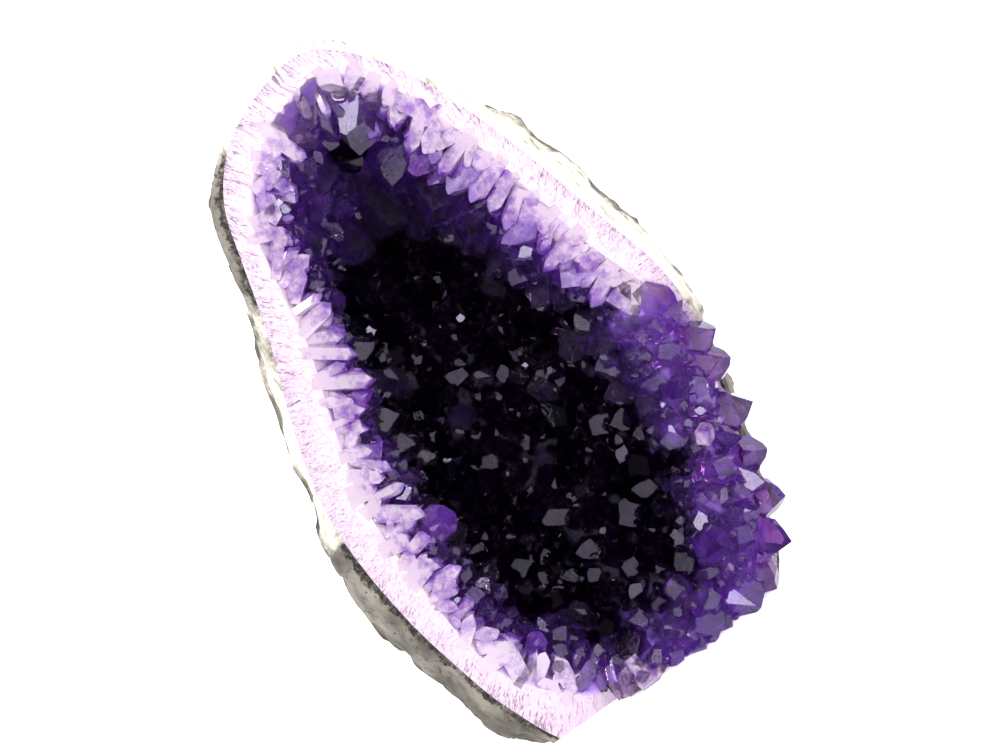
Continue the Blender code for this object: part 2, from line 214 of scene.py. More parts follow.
def shadeAt(station, inward):  # 0 at the rim, 1/3 where violet starts, 2/3 where it is dark
    pale, violet = max(stone["leastPale"], station.pale), station.violet
    if inward <= pale:
        return max(0.0, inward) / pale / 3
    if inward <= violet:
        return (1 + (inward - pale) / (violet - pale)) / 3
    return min(1.0, 2 / 3 + (inward - violet) / stone["deepReach"])


class Spot:  # a place on the amethyst bed where a crystal stands

    def __init__(self, position, v):
        station = Station(position)
        self.v = v
        self.open = station.open
        step = 0.004
        ahead = world(*Station(position + step).hollow(v))
        behind = world(*Station(position - step).hollow(v))
        inner = world(*station.hollow(v - step))
        outer = world(*station.hollow(min(1, v + step)))
        self.normal = (ahead - behind).cross(inner - outer).normalized()
        self.top = world(*station.hollow(v)) + self.normal * stone["bed"] * 0.001
        steps = [world(*station.hollow(v + (1 - v) * k / 8)) for k in range(9)]
        self.inward = 1000 * sum((b - a).length for a, b in zip(steps, steps[1:]))
        self.shade = shadeAt(station, self.inward)
        self.zone = None


def findSpot(x, t):  # the place on the bed that is nearest to a point of the sawn face
    around, inwards = stone["grid"]

    def off(place):
        here = Station(place[0]).hollow(place[1])
        return math.hypot(here[0] - x, here[1] - t)

    places = [(i / around, k / inwards) for i in range(around) for k in range(2, inwards - 1)]
    return Spot(*min(places, key=off))


def faceOut(bm):
    bmesh.ops.recalc_face_normals(bm, faces=bm.faces)
    if bm.calc_volume(signed=True) < 0:
        bmesh.ops.reverse_faces(bm, faces=bm.faces)


def addObject(name, mesh, mat=None):
    obj = bpy.data.objects.new(name, mesh)
    scene.collection.objects.link(obj)
    if mat:
        mesh.materials.clear()
        mesh.materials.append(mat)
    return obj


def toMesh(name, bm):
    mesh = bpy.data.meshes.new(name)
    bm.to_mesh(mesh)
    bm.free()
    return mesh


def baked(obj):  # the object's modifiers turned into its plain mesh
    graph = bpy.context.evaluated_depsgraph_get()
    mesh = bpy.data.meshes.new_from_object(obj.evaluated_get(graph))
    obj.modifiers.clear()
    obj.data = mesh
    return obj


def dropCrumbs(obj, least=2.0):  # the loose crumbs and closed pockets that a union leaves, mm3
    bm = bmesh.new()
    bm.from_mesh(obj.data)
    left = set(bm.verts)
    loose = []
    while left:
        stack = [left.pop()]
        piece = list(stack)
        while stack:
            for edge in stack.pop().link_edges:
                for vert in edge.verts:
                    if vert in left:
                        left.discard(vert)
                        stack.append(vert)
                        piece.append(vert)
        faces = {face for vert in piece for face in vert.link_faces}
        volume = 0.0
        for face in faces:
            a = face.verts[0].co
            for b, c in zip(face.verts[1:], face.verts[2:]):
                volume += a.dot(b.co.cross(c.co)) / 6
        if volume < least * 1e-9:
            loose.extend(piece)
    bmesh.ops.delete(bm, geom=loose, context="VERTS")
    bm.to_mesh(obj.data)
    bm.free()


def linear(hexColour):  # an sRGB colour such as "8A7FB0" as linear numbers
    parts = [int(hexColour[i:i + 2], 16) / 255 for i in (0, 2, 4)]
    return tuple(c / 12.92 if c <= 0.04045 else ((c + 0.055) / 1.055) ** 2.4
                 for c in parts) + (1.0,)


def addNode(tree, kind, settings=None, stops=(), **inputs):
    node = tree.nodes.new(kind)
    for key, value in (settings or {}).items():
        setattr(node, key, value)
    for i, (place, colour) in enumerate(stops):  # of a colour ramp
        elements = node.color_ramp.elements
        if i == 0:
            elements.remove(elements[1])
        element = elements[0] if i == 0 else elements.new(place)
        element.position = place
        element.color = linear(colour)
    for key, value in inputs.items():  # by name, or by number as in i0 and i1
        numbered = key[0] == "i" and key[1:].isdigit()
        socket = node.inputs[int(key[1:]) if numbered else key.replace("_", " ")]
        if isinstance(value, bpy.types.NodeSocket):
            tree.links.new(value, socket)
        else:
            socket.default_value = value
    return node


def newMaterial(name):
    mat = bpy.data.materials.new(name)
    mat.use_nodes = True
    return mat, mat.node_tree, mat.node_tree.nodes["Principled BSDF"]


# the camera is rolled, because the stone lies at a slant in the photograph
view = {"lens": 50, "azimuth": -7, "elevation": 11, "roll": -31.5, "distance": 0.345,
        "aimT": 82, "shift": (0.019, 0.024)}


def addCamera():
    az, el, roll = (math.radians(view[k]) for k in ("azimuth", "elevation", "roll"))
    back = Vector((math.sin(az) * math.cos(el), -math.cos(az) * math.cos(el), math.sin(el)))
    side = (-back).cross(Vector((0, 0, 1))).normalized()
    top = side.cross(-back)
    right = side * math.cos(roll) + top * math.sin(roll)
    up = top * math.cos(roll) - side * math.sin(roll)
    data = bpy.data.cameras.new("camera")
    data.lens = view["lens"]
    data.sensor_width = 36
    data.shift_x, data.shift_y = view["shift"]
    data.clip_start = 0.01
    obj = bpy.data.objects.new("camera", data)
    scene.collection.objects.link(obj)
    turn = Matrix((right, up, back)).transposed().to_4x4()
    place = world(0, view["aimT"], 0) + back * view["distance"]
    obj.matrix_world = Matrix.Translation(place) @ turn
    scene.camera = obj


rock = {"around": 320, "rings": 70, "lumps": ((34.0, 3.4), (15.0, 2.8), (7.0, 1.4)),
        "ledgeStep": 1.6, "ledgeShare": 0.45, "rimLump": 0.35, "depthLump": 0.4,
        "pits": ((2.6, 0.5), (1.1, 0.28), (0.5, 0.12)), "coatFrom": 1.5, "coatFall": 24,
        "darkFrom": 6, "darkFall": 26, "rimRings": 5, "backRings": 5, "sawRough": 0.12,
        "roughGrain": 1.5}


def lump(point):
    height = 0.0
    for across, rise in rock["lumps"]:
        height += rise * noise.noise(Vector(point) / across)
    ledge = math.floor(height / rock["ledgeStep"]) * rock["ledgeStep"]
    return height + (ledge - height) * rock["ledgeShare"]


def pits(point):  # fine roughness, only ever inwards
    depth = 0.0
    for across, fall in rock["pits"]:
        depth -= fall * (0.5 + 0.5 * noise.noise(Vector(point) / across + Vector((9, 4, 7))))
    return depth


def ringMesh(name, rings, start, end, ease=False, **layers):  # layers: one value for each point
    bm = bmesh.new()
    kept = {key: bm.verts.layers.float.new(key) for key in layers}
    rows = []
    for k, ring in enumerate(rings):
        row = [bm.verts.new(inBox(world(*p)) if ease else world(*p)) for p in ring]
        for key, layer in kept.items():
            for vert, value in zip(row, layers[key][k]):
                vert[layer] = value
        rows.append(row)
    count = len(rows[0])
    for low, high in zip(rows, rows[1:]):
        for i in range(count):
            j = (i + 1) % count
            bm.faces.new((low[i], low[j], high[j], high[i]))
    for row, tip in ((rows[0], start), (rows[-1], end)):
        pole = bm.verts.new(world(*tip))
        for layer in kept.values():
            pole[layer] = sum(vert[layer] for vert in row) / count
        for i in range(count):
            bm.faces.new((row[i], row[(i + 1) % count], pole))
    faceOut(bm)
    return toMesh(name, bm)


def baseBlock(height=0.0):  # everything below the flat that the stone stands on
    bm = bmesh.new()
    bmesh.ops.create_cube(bm, size=0.4)
    bmesh.ops.translate(bm, verts=bm.verts, vec=(0, 0, height - 0.2))
    return addObject("baseBlock", toMesh("baseBlock", bm))


def cutBase(obj):  # sawn flat where it stands
    block = baseBlock()
    modifier = obj.modifiers.new("base", "BOOLEAN")
    modifier.operation = "DIFFERENCE"
    modifier.solver = "MANIFOLD"
    modifier.object = block
    baked(obj)
    bpy.data.objects.remove(block)


def addRock(mat):
    count = rock["around"]
    stations = [Station(i / count) for i in range(count)]
    rings, coats, bands, backs = [], [], [], []
    for k in range(rock["rings"] - 1, -1, -1):  # the skin, from the back to the rim
        ring, coat, back = [], [], []
        for station in stations:
            x, t, d = station.skin(k / rock["rings"])
            back.append(smooth((d - rock["darkFrom"]) / rock["darkFall"]))
            rise = lump((x, t, d)) * (rock["rimLump"] if k == 0 else 1) + pits((x, t, d))
            x, t = stone["heart"] + (Vector((x, t)) - stone["heart"]) * (1 + rise / station.reach)
            if k > 0:
                d += rock["depthLump"] * lump((d, x, t))
            ring.append((x, t, d))
            # white on the skin near the rim: partly a chalky coating, partly painted glare, fading
            # away from the rim
            coat.append(station.coat * (1 - smooth((d - rock["coatFrom"]) / rock["coatFall"])))
        rings.append(ring)
        coats.append(coat)
        bands.append([0.0] * count)
        backs.append(back)
    outer = rings[-1]
    for k in range(1, rock["rimRings"] + 1):  # the sawn face of the rock, up to the quartz
        f = k / rock["rimRings"]
        ring = []
        for i, station in enumerate(stations):
            x, t, d = station.quartzBack(1)
            ring.append((outer[i][0] + (x - outer[i][0]) * f, outer[i][1] + (t - outer[i][1]) * f,
                         station.edge + rock["sawRough"] * math.sin(math.pi * f)
                         * (1 + noise.noise(Vector((x, t, 9 * f)) / rock["roughGrain"]))))
        rings.append(ring)
        coats.append([s.coat for s in stations])
        bands.append([f] * count)
        backs.append([0.0] * count)
    for k in range(1, rock["backRings"]):
        rings.append([s.quartzBack(1 - k / rock["backRings"]) for s in stations])
        coats.append([0.0] * count)
        bands.append([1.0] * count)
        backs.append([0.0] * count)
    x, t = stone["heart"]
    tail = (x, t - stone["backDrop"] * (stone["depth"] - stone["dropFrom"]), stone["depth"])
    mesh = ringMesh("basalt", rings, tail, (x, t, stone["quartzDepth"]), ease=True,
                    coat=coats, band=bands, back=backs)
    obj = addObject("basaltRock", mesh, mat)
    cutBase(obj)
    return obj


# the milky quartz, with the bed that the crystals grow from
quartz = {"around": 280, "hollowRings": 60, "rimRings": 8, "backRings": 5, "ringSpread": 1.1,
          "bedRise": 5, "rimShade": -0.2, "highest": 0.25,
          "roughness": ((4.0, 0.5), (1.5, 0.25))}


def addQuartz(mat):
    count = quartz["around"]
    stations = [Station(i / count) for i in range(count)]
    rows, joint = quartz["backRings"], stone["joint"]
    back = [[s.quartzBack(k / rows) for s in stations] for k in range(1, rows)]
    values = [[0.0] * count for _ in back]
    for k in range(quartz["rimRings"] + 1):  # the sawn face, from rock to hollow
        f = k / quartz["rimRings"]
        ring = []
        for s in stations:
            outer = 1 - (s.rock + joint) / s.reach
            inner = 1 - (s.rock + s.quartz) / s.reach
            ring.append(s.at(outer + (inner - outer) * f, s.edge))
        back.append(ring)
        values.append([quartz["rimShade"] * (1 - f)] * count)
    for k in range(1, quartz["hollowRings"]):  # the bed, rising to its full thickness
        v = 1 - (k / quartz["hollowRings"]) ** quartz["ringSpread"]
        ring, shades = [], []
        for i, s in enumerate(stations):
            spot = Spot(i / count, v)
            risen = smooth(spot.inward / quartz["bedRise"])
            lift = stone["bed"] * risen
            for across, rise in quartz["roughness"]:
                lift += rise * noise.noise(spot.top * 1000 / across) * risen
            p = world(*s.hollow(v)) + spot.normal * lift * 0.001
            x, t, d = onStone(p)
            ring.append((x, t, max(d, min(quartz["highest"], s.edge))))
            shades.append(spot.shade)
        back.append(ring)
        values.append(shades)
    x, t = stone["heart"]
    mesh = ringMesh("quartz", back, (x, t, stone["quartzDepth"]),
                    (x, t, stone["hollowDepth"] - stone["bed"]), shade=values)
    obj = addObject("milkyQuartz", mesh, mat)
    cutBase(obj)
    return obj


crystal = {
    "seed": 41, "tries": 5000, "across": (5.4, 9.2), "tall": (0.7, 1.05), "space": 0.43,
    "middle": 0.05, "spread": 0.7, "rimRow": 0.975, "rimTries": 400,  # 0 is the heart, 1 the rim
    "lean": 0.42, "forward": 0.25, "aim": 1.5,
    "nearRim": (0.7, 0.9), "rimGrowth": 0.15, "rimSlim": 0.42, "rimForward": -0.35,
    "underSaw": 0.32, "backStep": 0.12, "backSteps": 9, "openFrom": 0.5,
    "kinds": 8, "faceAngle": 51.8, "roots": (0.7, 1.0, 1.4, 1.9, 2.6), "foot": (0.44, 0.5),
    "largeFace": (0.0, 0.07), "smallFace": (0.06, 0.24),  # how far the point's faces are cut down
    "sink": 2.0, "fill": 1.22, "stretch": (0.95, 1.25), "wide": (0.92, 1.12), "flat": (0.8, 1.0),
    "frontRoom": 0.0012, "baseRoom": 0.0015, "baseCut": 0.0003,
    "sawClear": -0.04, "sawFrom": 76.0, "sawLeft": -12.0,
    "sawTouch": 0.1, "sawnRise": 0.1,
}

rimCrystal = {"seed": 23, "tries": 4800, "rows": (0.87, 0.992), "across": (2.4, 5.6),
              "height": (3.0, 7.0), "openShorter": 0.4, "lean": 0.45, "forward": 0.7,
              "space": 0.36, "into": 2.4, "intoFrom": 0.975}

smallCrystal = {"seed": 7, "tries": 11000, "rows": (0.04, 0.95), "spread": 0.6,
                "across": (1.8, 4.0), "tall": (0.9, 1.4), "share": 0.8, "more": 1.2,
                "lean": 0.4, "forward": 0.3, "space": 0.35}


def leanOf(rng, spread):
    return Vector([rng.gauss(0, spread) for _ in range(3)])


def findCrystals():  # those that stand out, large ones, those along the rim, then small ones
    rng = random.Random(crystal["seed"])
    found = []
    for x, t, across, height, right, up, zone in landmarks:
        spot = findSpot(x, t)
        spot.zone = zone
        spot.across, spot.height = across, height
        lean = Vector((math.sin(math.radians(right)), -1, math.sin(math.radians(up))))
        spot.axis = underSaw(spot, (spot.normal + lean.normalized() * crystal["aim"]).normalized())
        found.append(spot)
    low, high = crystal["nearRim"]
    row = crystal["rimRow"]
    for i in range(crystal["tries"]):
        turn = rng.random()
        v = crystal["middle"] + (row - crystal["middle"]) * rng.random() ** crystal["spread"]
        spot = Spot(turn, row if i < crystal["rimTries"] else v)
        nearRim = smooth((spot.v - low) / (high - low)) * (1 - spot.open)
        spot.across = rng.uniform(*crystal["across"])
        spot.height = spot.across * rng.uniform(*crystal["tall"])
        spot.height *= 1 + crystal["rimGrowth"] * nearRim
        spot.across *= 1 - crystal["rimSlim"] * nearRim
        lean = leanOf(rng, crystal["lean"])
        forward = Vector((0, -crystal["forward"] + crystal["rimForward"] * nearRim, 0))
        spot.axis = underSaw(spot, (spot.normal + lean + forward).normalized())
        if clearOf(spot, found, crystal["space"]):
            found.append(spot)
    rng = random.Random(rimCrystal["seed"])
    for _ in range(rimCrystal["tries"]):
        spot = Spot(rng.random(), rng.uniform(*rimCrystal["rows"]))
        spot.across = rng.uniform(*rimCrystal["across"])
        spot.height = rng.uniform(*rimCrystal["height"])
        spot.height *= 1 - rimCrystal["openShorter"] * spot.open
        into = rng.uniform(0, rimCrystal["into"]) * (spot.v > rimCrystal["intoFrom"])
        into *= 1 - spot.open
        spot.top += into * 0.001 * (spot.top - world(*stone["heart"], 0)).normalized()
        lean = leanOf(rng, rimCrystal["lean"])
        forward = Vector((0, -rng.uniform(0, rimCrystal["forward"]), 0))
        spot.axis = underSaw(spot, (spot.normal + lean + forward).normalized())
        if clearOf(spot, found, rimCrystal["space"]):
            found.append(spot)
    rng = random.Random(smallCrystal["seed"])
    first, past = smallCrystal["rows"]
    for _ in range(smallCrystal["tries"]):
        spot = Spot(rng.random(), first + past * rng.random() ** smallCrystal["spread"])
        spot.across = rng.uniform(*smallCrystal["across"])
        spot.height = spot.across * rng.uniform(*smallCrystal["tall"]) * smallCrystal["share"]
        spot.height += smallCrystal["more"]
        lean = leanOf(rng, smallCrystal["lean"])
        spot.axis = (spot.normal + lean + Vector((0, -smallCrystal["forward"], 0))).normalized()
        if clearOf(spot, found, smallCrystal["space"]):
            found.append(spot)
    return found


def underSaw(spot, axis):  # leans a crystal of the sawn side back until its point is whole
    if spot.open > crystal["openFrom"]:
        return axis
    for _ in range(crystal["backSteps"]):
        if onStone(spot.top + axis * spot.height * 0.001)[2] > crystal["underSaw"] * spot.across:
            break
        axis = (axis + Vector((0, crystal["backStep"], 0))).normalized()
    return axis


def clearOf(spot, found, space):
    return all((spot.top - other.top).length > space * (spot.across + other.across) * 0.001
               for other in found)


def crystalKit():  # six-sided prisms with points of three large and three small faces
    rng = random.Random(crystal["seed"])
    kit = bpy.data.collections.new("crystalKit")
    scene.collection.children.link(kit)
    slope = math.radians(crystal["faceAngle"])
    for r, root in enumerate(crystal["roots"]):
        for kind in range(crystal["kinds"]):
            bm = bmesh.new()
            narrow, broad = crystal["foot"]
            bmesh.ops.create_cone(bm, cap_ends=True, segments=6, radius1=narrow, radius2=broad,
                                  depth=root + broad)
            bmesh.ops.translate(bm, verts=bm.verts, vec=(0, 0, (broad - root) / 2))
            for k in range(6):
                low = rng.uniform(*crystal["largeFace" if k % 2 == 0 else "smallFace"])
                turn = math.radians(60 * k + 30)
                normal = Vector((math.cos(turn) * math.sin(slope),
                                 math.sin(turn) * math.sin(slope), math.cos(slope)))
                parts = bm.verts[:] + bm.edges[:] + bm.faces[:]
                made = bmesh.ops.bisect_plane(bm, geom=parts, plane_co=(0, 0, low),
                                              plane_no=normal, clear_outer=True)
                rim = [e for e in made["geom_cut"] if isinstance(e, bmesh.types.BMEdge)]
                if len(rim) > 2:
                    bmesh.ops.contextual_create(bm, geom=rim)
            faceOut(bm)
            name = f"root{r}kind{kind}"
            kit.objects.link(bpy.data.objects.new(name, toMesh(name, bm)))
    return kit


def growTree():  # points to one fused, sawn body of crystals
    tree = bpy.data.node_groups.new("growCrystals", "GeometryNodeTree")
    tree.is_modifier = True
    face = tree.interface
    face.new_socket("Points", in_out="INPUT", socket_type="NodeSocketGeometry")
    for name, kind in (("Kit", "Collection"), ("Saw", "Object"), ("Base", "Object"),
                       ("Material", "Material")):
        face.new_socket(name, in_out="INPUT", socket_type=f"NodeSocket{kind}")
    face.new_socket("Crystals", in_out="OUTPUT", socket_type="NodeSocketGeometry")
    start = addNode(tree, "NodeGroupInput").outputs
    kinds = addNode(tree, "GeometryNodeCollectionInfo", Collection=start["Kit"],
                    Separate_Children=True, Reset_Children=True)
    stored = {}
    for key, kind in (("turn", "FLOAT_VECTOR"), ("size", "FLOAT_VECTOR"), ("kind", "INT")):
        stored[key] = addNode(tree, "GeometryNodeInputNamedAttribute", {"data_type": kind},
                              Name=key).outputs["Attribute"]
    euler = addNode(tree, "FunctionNodeEulerToRotation", i0=stored["turn"])
    stand = addNode(tree, "GeometryNodeInstanceOnPoints", Points=start["Points"],
                    Instance=kinds.outputs[0], Pick_Instance=True, Rotation=euler.outputs[0],
                    Scale=stored["size"], Instance_Index=stored["kind"])
    fused = addNode(tree, "GeometryNodeMeshBoolean", {"operation": "UNION", "solver": "MANIFOLD"},
                    i1=stand.outputs[0])
    sawn = addNode(tree, "GeometryNodeMeshBoolean",
                   {"operation": "DIFFERENCE", "solver": "MANIFOLD"}, i0=fused.outputs[0])
    for name in ("Saw", "Base"):
        cutter = addNode(tree, "GeometryNodeObjectInfo", {"transform_space": "RELATIVE"},
                         Object=start[name])
        tree.links.new(cutter.outputs["Geometry"], sawn.inputs[1])
    real = addNode(tree, "GeometryNodeRealizeInstances", Geometry=sawn.outputs[0])
    done = addNode(tree, "GeometryNodeSetMaterial", Geometry=real.outputs[0],
                   Material=start["Material"])
    addNode(tree, "NodeGroupOutput", Crystals=done.outputs[0])
    return tree


def setInputs(modifier, **values):  # by each socket's identifier, before the first evaluation
    for item in modifier.node_group.interface.items_tree:
        if item.in_out == "INPUT" and item.name in values:
            modifier[item.identifier] = values[item.name]


def sawBlock():  # what is in front of the sawn face, but not at the lower right, which is open
    bm = bmesh.new()
    clear, low, left = crystal["sawClear"], crystal["sawFrom"], crystal["sawLeft"]
    outline = ((-90, -60), (left, -60), (left, low), (90, low), (90, 260), (-90, 260))
    front = [bm.verts.new(world(x, t, -90)) for x, t in outline]
    back = [bm.verts.new(world(x, t, clear)) for x, t in outline]
    bm.faces.new(front)
    bm.faces.new(back)
    for i in range(len(outline)):
        j = (i + 1) % len(outline)
        bm.faces.new((front[i], front[j], back[j], back[i]))
    faceOut(bm)
    return addObject("sawBlock", toMesh("sawBlock", bm))


def markCorners(obj, spots, rng):  # rise: from 0 at the foot to 1 at the point; tint: by crystal
    levels = (0.0, 0.4, 0.8)  # the places along each crystal that stand for it
    near = kdtree.KDTree(len(spots) * len(levels))
    for i, spot in enumerate(spots):
        for k, level in enumerate(levels):
            near.insert(spot.top + spot.axis * spot.height * 0.001 * level, len(levels) * i + k)
    near.balance()
    tints = [rng.random() for _ in spots]
    rise, tint = [], []
    for vert in obj.data.vertices:
        i = near.find(vert.co)[1] // len(levels)
        up = (vert.co - spots[i].top).dot(spots[i].axis) * 1000 / spots[i].height
        onSaw = onStone(vert.co)[2] < crystal["sawClear"] + crystal["sawTouch"]
        if onSaw and spots[i].open < crystal["openFrom"]:
            up = min(up, crystal["sawnRise"])  # where it is sawn, a crystal is as pale as its root
        rise.append(up)
        tint.append(tints[i])
    for key, values in (("rise", rise), ("tint", tint)):
        obj.data.attributes.new(key, "FLOAT", "POINT").data.foreach_set("value", values)


def addCrystals(name, spots, seed, tree, inputs):
    rng = random.Random(seed)
    mesh = bpy.data.meshes.new(name)
    tips = [s.top + s.axis * s.height * 0.001 for s in spots]
    for tip in tips:  # none stands out of the solid's box or below the base
        tip.y = max(tip.y, cadBox[0][1] + crystal["frontRoom"])
        tip.z = max(tip.z, crystal["baseRoom"])
    mesh.from_pydata([tuple(p) for p in tips], [], [])
    turns, sizes, kinds = [], [], []
    for spot in spots:
        spin = Matrix.Rotation(rng.uniform(0, math.tau), 3, "Z").to_quaternion()
        turns.extend((spot.axis.to_track_quat("Z", "Y") @ spin).to_euler())
        wide = spot.across * crystal["fill"]
        tall = wide * rng.uniform(*crystal["stretch"])
        need = (spot.height + crystal["sink"]) / tall
        fits = [i for i, root in enumerate(crystal["roots"]) if root >= need]
        root = fits[0] if fits else len(crystal["roots"]) - 1
        kinds.append(root * crystal["kinds"] + rng.randrange(crystal["kinds"]))
        sizes.extend(a * 0.001 for a in (wide * rng.uniform(*crystal["wide"]),
                                         wide * rng.uniform(*crystal["flat"]), tall))
    mesh.attributes.new("kind", "INT", "POINT").data.foreach_set("value", kinds)
    for attribute, values in (("turn", turns), ("size", sizes)):
        mesh.attributes.new(attribute, "FLOAT_VECTOR", "POINT").data.foreach_set("vector", values)
    obj = addObject(name, mesh)
    modifier = obj.modifiers.new("grow", "NODES")
    modifier.node_group = tree
    setInputs(modifier, **inputs)
    baked(obj)
    dropCrumbs(obj)
    markCorners(obj, spots, rng)
    print(name, len(spots), "crystals,", len(obj.data.polygons), "faces")
    return obj


def radialStreaks(tree, place, around, along):  # stretched away from the middle of the face
    middle = world(stone["heart"].x, stone["heart"].y, 0)
    arm = addNode(tree, "ShaderNodeVectorMath", {"operation": "SUBTRACT"}, i0=place, i1=middle)
    way = addNode(tree, "ShaderNodeVectorMath", {"operation": "NORMALIZE"}, i0=arm.outputs[0])
    spread = addNode(tree, "ShaderNodeVectorMath", {"operation": "SCALE"}, i0=way.outputs[0],
                     Scale=around)
    reach = addNode(tree, "ShaderNodeVectorMath", {"operation": "LENGTH"}, i0=arm.outputs[0])
    outwards = addNode(tree, "ShaderNodeMath", {"operation": "MULTIPLY"},
                       i0=reach.outputs["Value"], i1=along)
    step = addNode(tree, "ShaderNodeCombineXYZ", X=outwards.outputs[0])
    return addNode(tree, "ShaderNodeVectorMath", {"operation": "ADD"}, i0=spread.outputs[0],
                   i1=step.outputs[0]).outputs[0]


def scaleOf(size):  # a noise scale from the real size of a grain in mm
    return 1000.0 / size


mixColour = {"data_type": "RGBA"}
multiplyColour = {"data_type": "RGBA", "blend_type": "MULTIPLY"}
multiplyAdd = {"operation": "MULTIPLY_ADD"}

basaltLook = {
    "noises": {"patches": (14, 7, 0.62), "specks": (1.6, 3, 0.7), "broken": (3, 6, 0.7),
               "veil": (16, 8, 0.66), "grain": (0.9, 5, 0.7)},  # size in mm, detail, roughness
    "tones": ((0.30, "383531"), (0.43, "57534E"), (0.52, "6D6963"), (0.66, "837E77")),
    "speck": "47372A", "back": "9C948A",
    "band": ((0.42, "161414"), (0.56, "47433F"), (0.68, "756E65")),
    # tones of the white near the rim: a chalky coating, partly painted light (glare on the lit
    # skin)
    "coat": ((0.31, "7C766B"), (0.38, "A49E93"), (0.45, "BBB6AC"), (0.6, "C5C1B9")),
    "lineSize": (1.3, 1.3, 16), "lineTurn": math.radians(19),
}


def basaltMaterial():  # weathered basalt: dull grey-beige, brown specks, and white near the rim that is partly a chalky coating and partly painted light (washed-out glare on the lit skin)
    mat, tree, shader = newMaterial("weatheredBasalt")
    look = basaltLook
    place = addNode(tree, "ShaderNodeTexCoord").outputs["Object"]
    grown = {key: addNode(tree, "ShaderNodeTexNoise", Vector=place, Scale=scaleOf(size),
                          Detail=detail, Roughness=rough).outputs[0]
             for key, (size, detail, rough) in look["noises"].items()}
    band, coat, back = [addNode(tree, "ShaderNodeAttribute",
                                {"attribute_name": key}).outputs["Fac"]
                        for key in ("band", "coat", "back")]
    skin = addNode(tree, "ShaderNodeValToRGB", stops=look["tones"], Fac=grown["patches"])
    dots = addNode(tree, "ShaderNodeValToRGB", stops=((0.60, "000000"), (0.66, "FFFFFF")),
                   Fac=grown["specks"])
    tone = addNode(tree, "ShaderNodeMix", mixColour, i0=dots.outputs[0], i6=skin.outputs[0],
                   i7=linear(look["speck"]))
    # the dark, broken band on the sawn rock, next to the quartz
    edge = addNode(tree, "ShaderNodeMath", multiplyAdd, i0=band, i1=0.45, i2=grown["broken"])
    dark = addNode(tree, "ShaderNodeValToRGB", stops=((0.66, "000000"), (0.74, "FFFFFF")),
                   Fac=edge.outputs[0])
    bandTone = addNode(tree, "ShaderNodeValToRGB", stops=look["band"], Fac=grown["specks"])
    tone = addNode(tree, "ShaderNodeMix", mixColour, i0=dark.outputs[0], i6=tone.outputs[2],
                   i7=bandTone.outputs[0])
    # the white with its fine lines, partly a chalky coating and partly painted light (washed-out
    # glare on the lit skin), which breaks up away from the rim
    cover = addNode(tree, "ShaderNodeMath", multiplyAdd, i0=coat, i1=0.6, i2=grown["veil"])
    white = addNode(tree, "ShaderNodeValToRGB", stops=((0.74, "000000"), (0.86, "FFFFFF")),
                    Fac=cover.outputs[0])
    turned = addNode(tree, "ShaderNodeMapping", Vector=place, Rotation=(0, look["lineTurn"], 0),
                     Scale=tuple(scaleOf(size) for size in look["lineSize"]))
    lines = addNode(tree, "ShaderNodeTexNoise", Vector=turned.outputs[0], Scale=1.0, Detail=5,
                    Roughness=0.6)
    coatTone = addNode(tree, "ShaderNodeValToRGB", stops=look["coat"], Fac=lines.outputs[0])
    tone = addNode(tree, "ShaderNodeMix", mixColour, i0=white.outputs[0], i6=tone.outputs[2],
                   i7=coatTone.outputs[0])
    tone = addNode(tree, "ShaderNodeMix", multiplyColour, i0=back, i6=tone.outputs[2],
                   i7=linear(look["back"]))
    tree.links.new(tone.outputs[2], shader.inputs["Base Color"])
    shader.inputs["Roughness"].default_value = 0.85
    bump = addNode(tree, "ShaderNodeBump", Strength=0.45, Distance=0.0004, Height=grown["grain"])
    tree.links.new(bump.outputs[0], shader.inputs["Normal"])
    return mat


quartzLook = {
    "tones": ((0.0, "B7A7B5"), (0.1, "B29EBA"), (0.25, "A88EC2"), (0.42, "8E6ABB"),
              (0.6, "3E2468"), (0.75, "0E0620")),  # from the sawn rim to under the deep crystals
    "marks": ((0.5, "84798A"), (0.58, "C9BDCC"), (0.67, "FFFFFF")),
    "around": 60, "along": 260,  # how close the streaks stand, and how often they break
    "swirlSize": 5, "swing": (0.003, 0.003, 0.003), "fineScale": 3.5,
    "cellSize": 5, "outlines": ((0.0, "B79FC4"), (0.035, "FFFFFF")), "outlineShare": 0.25,
}


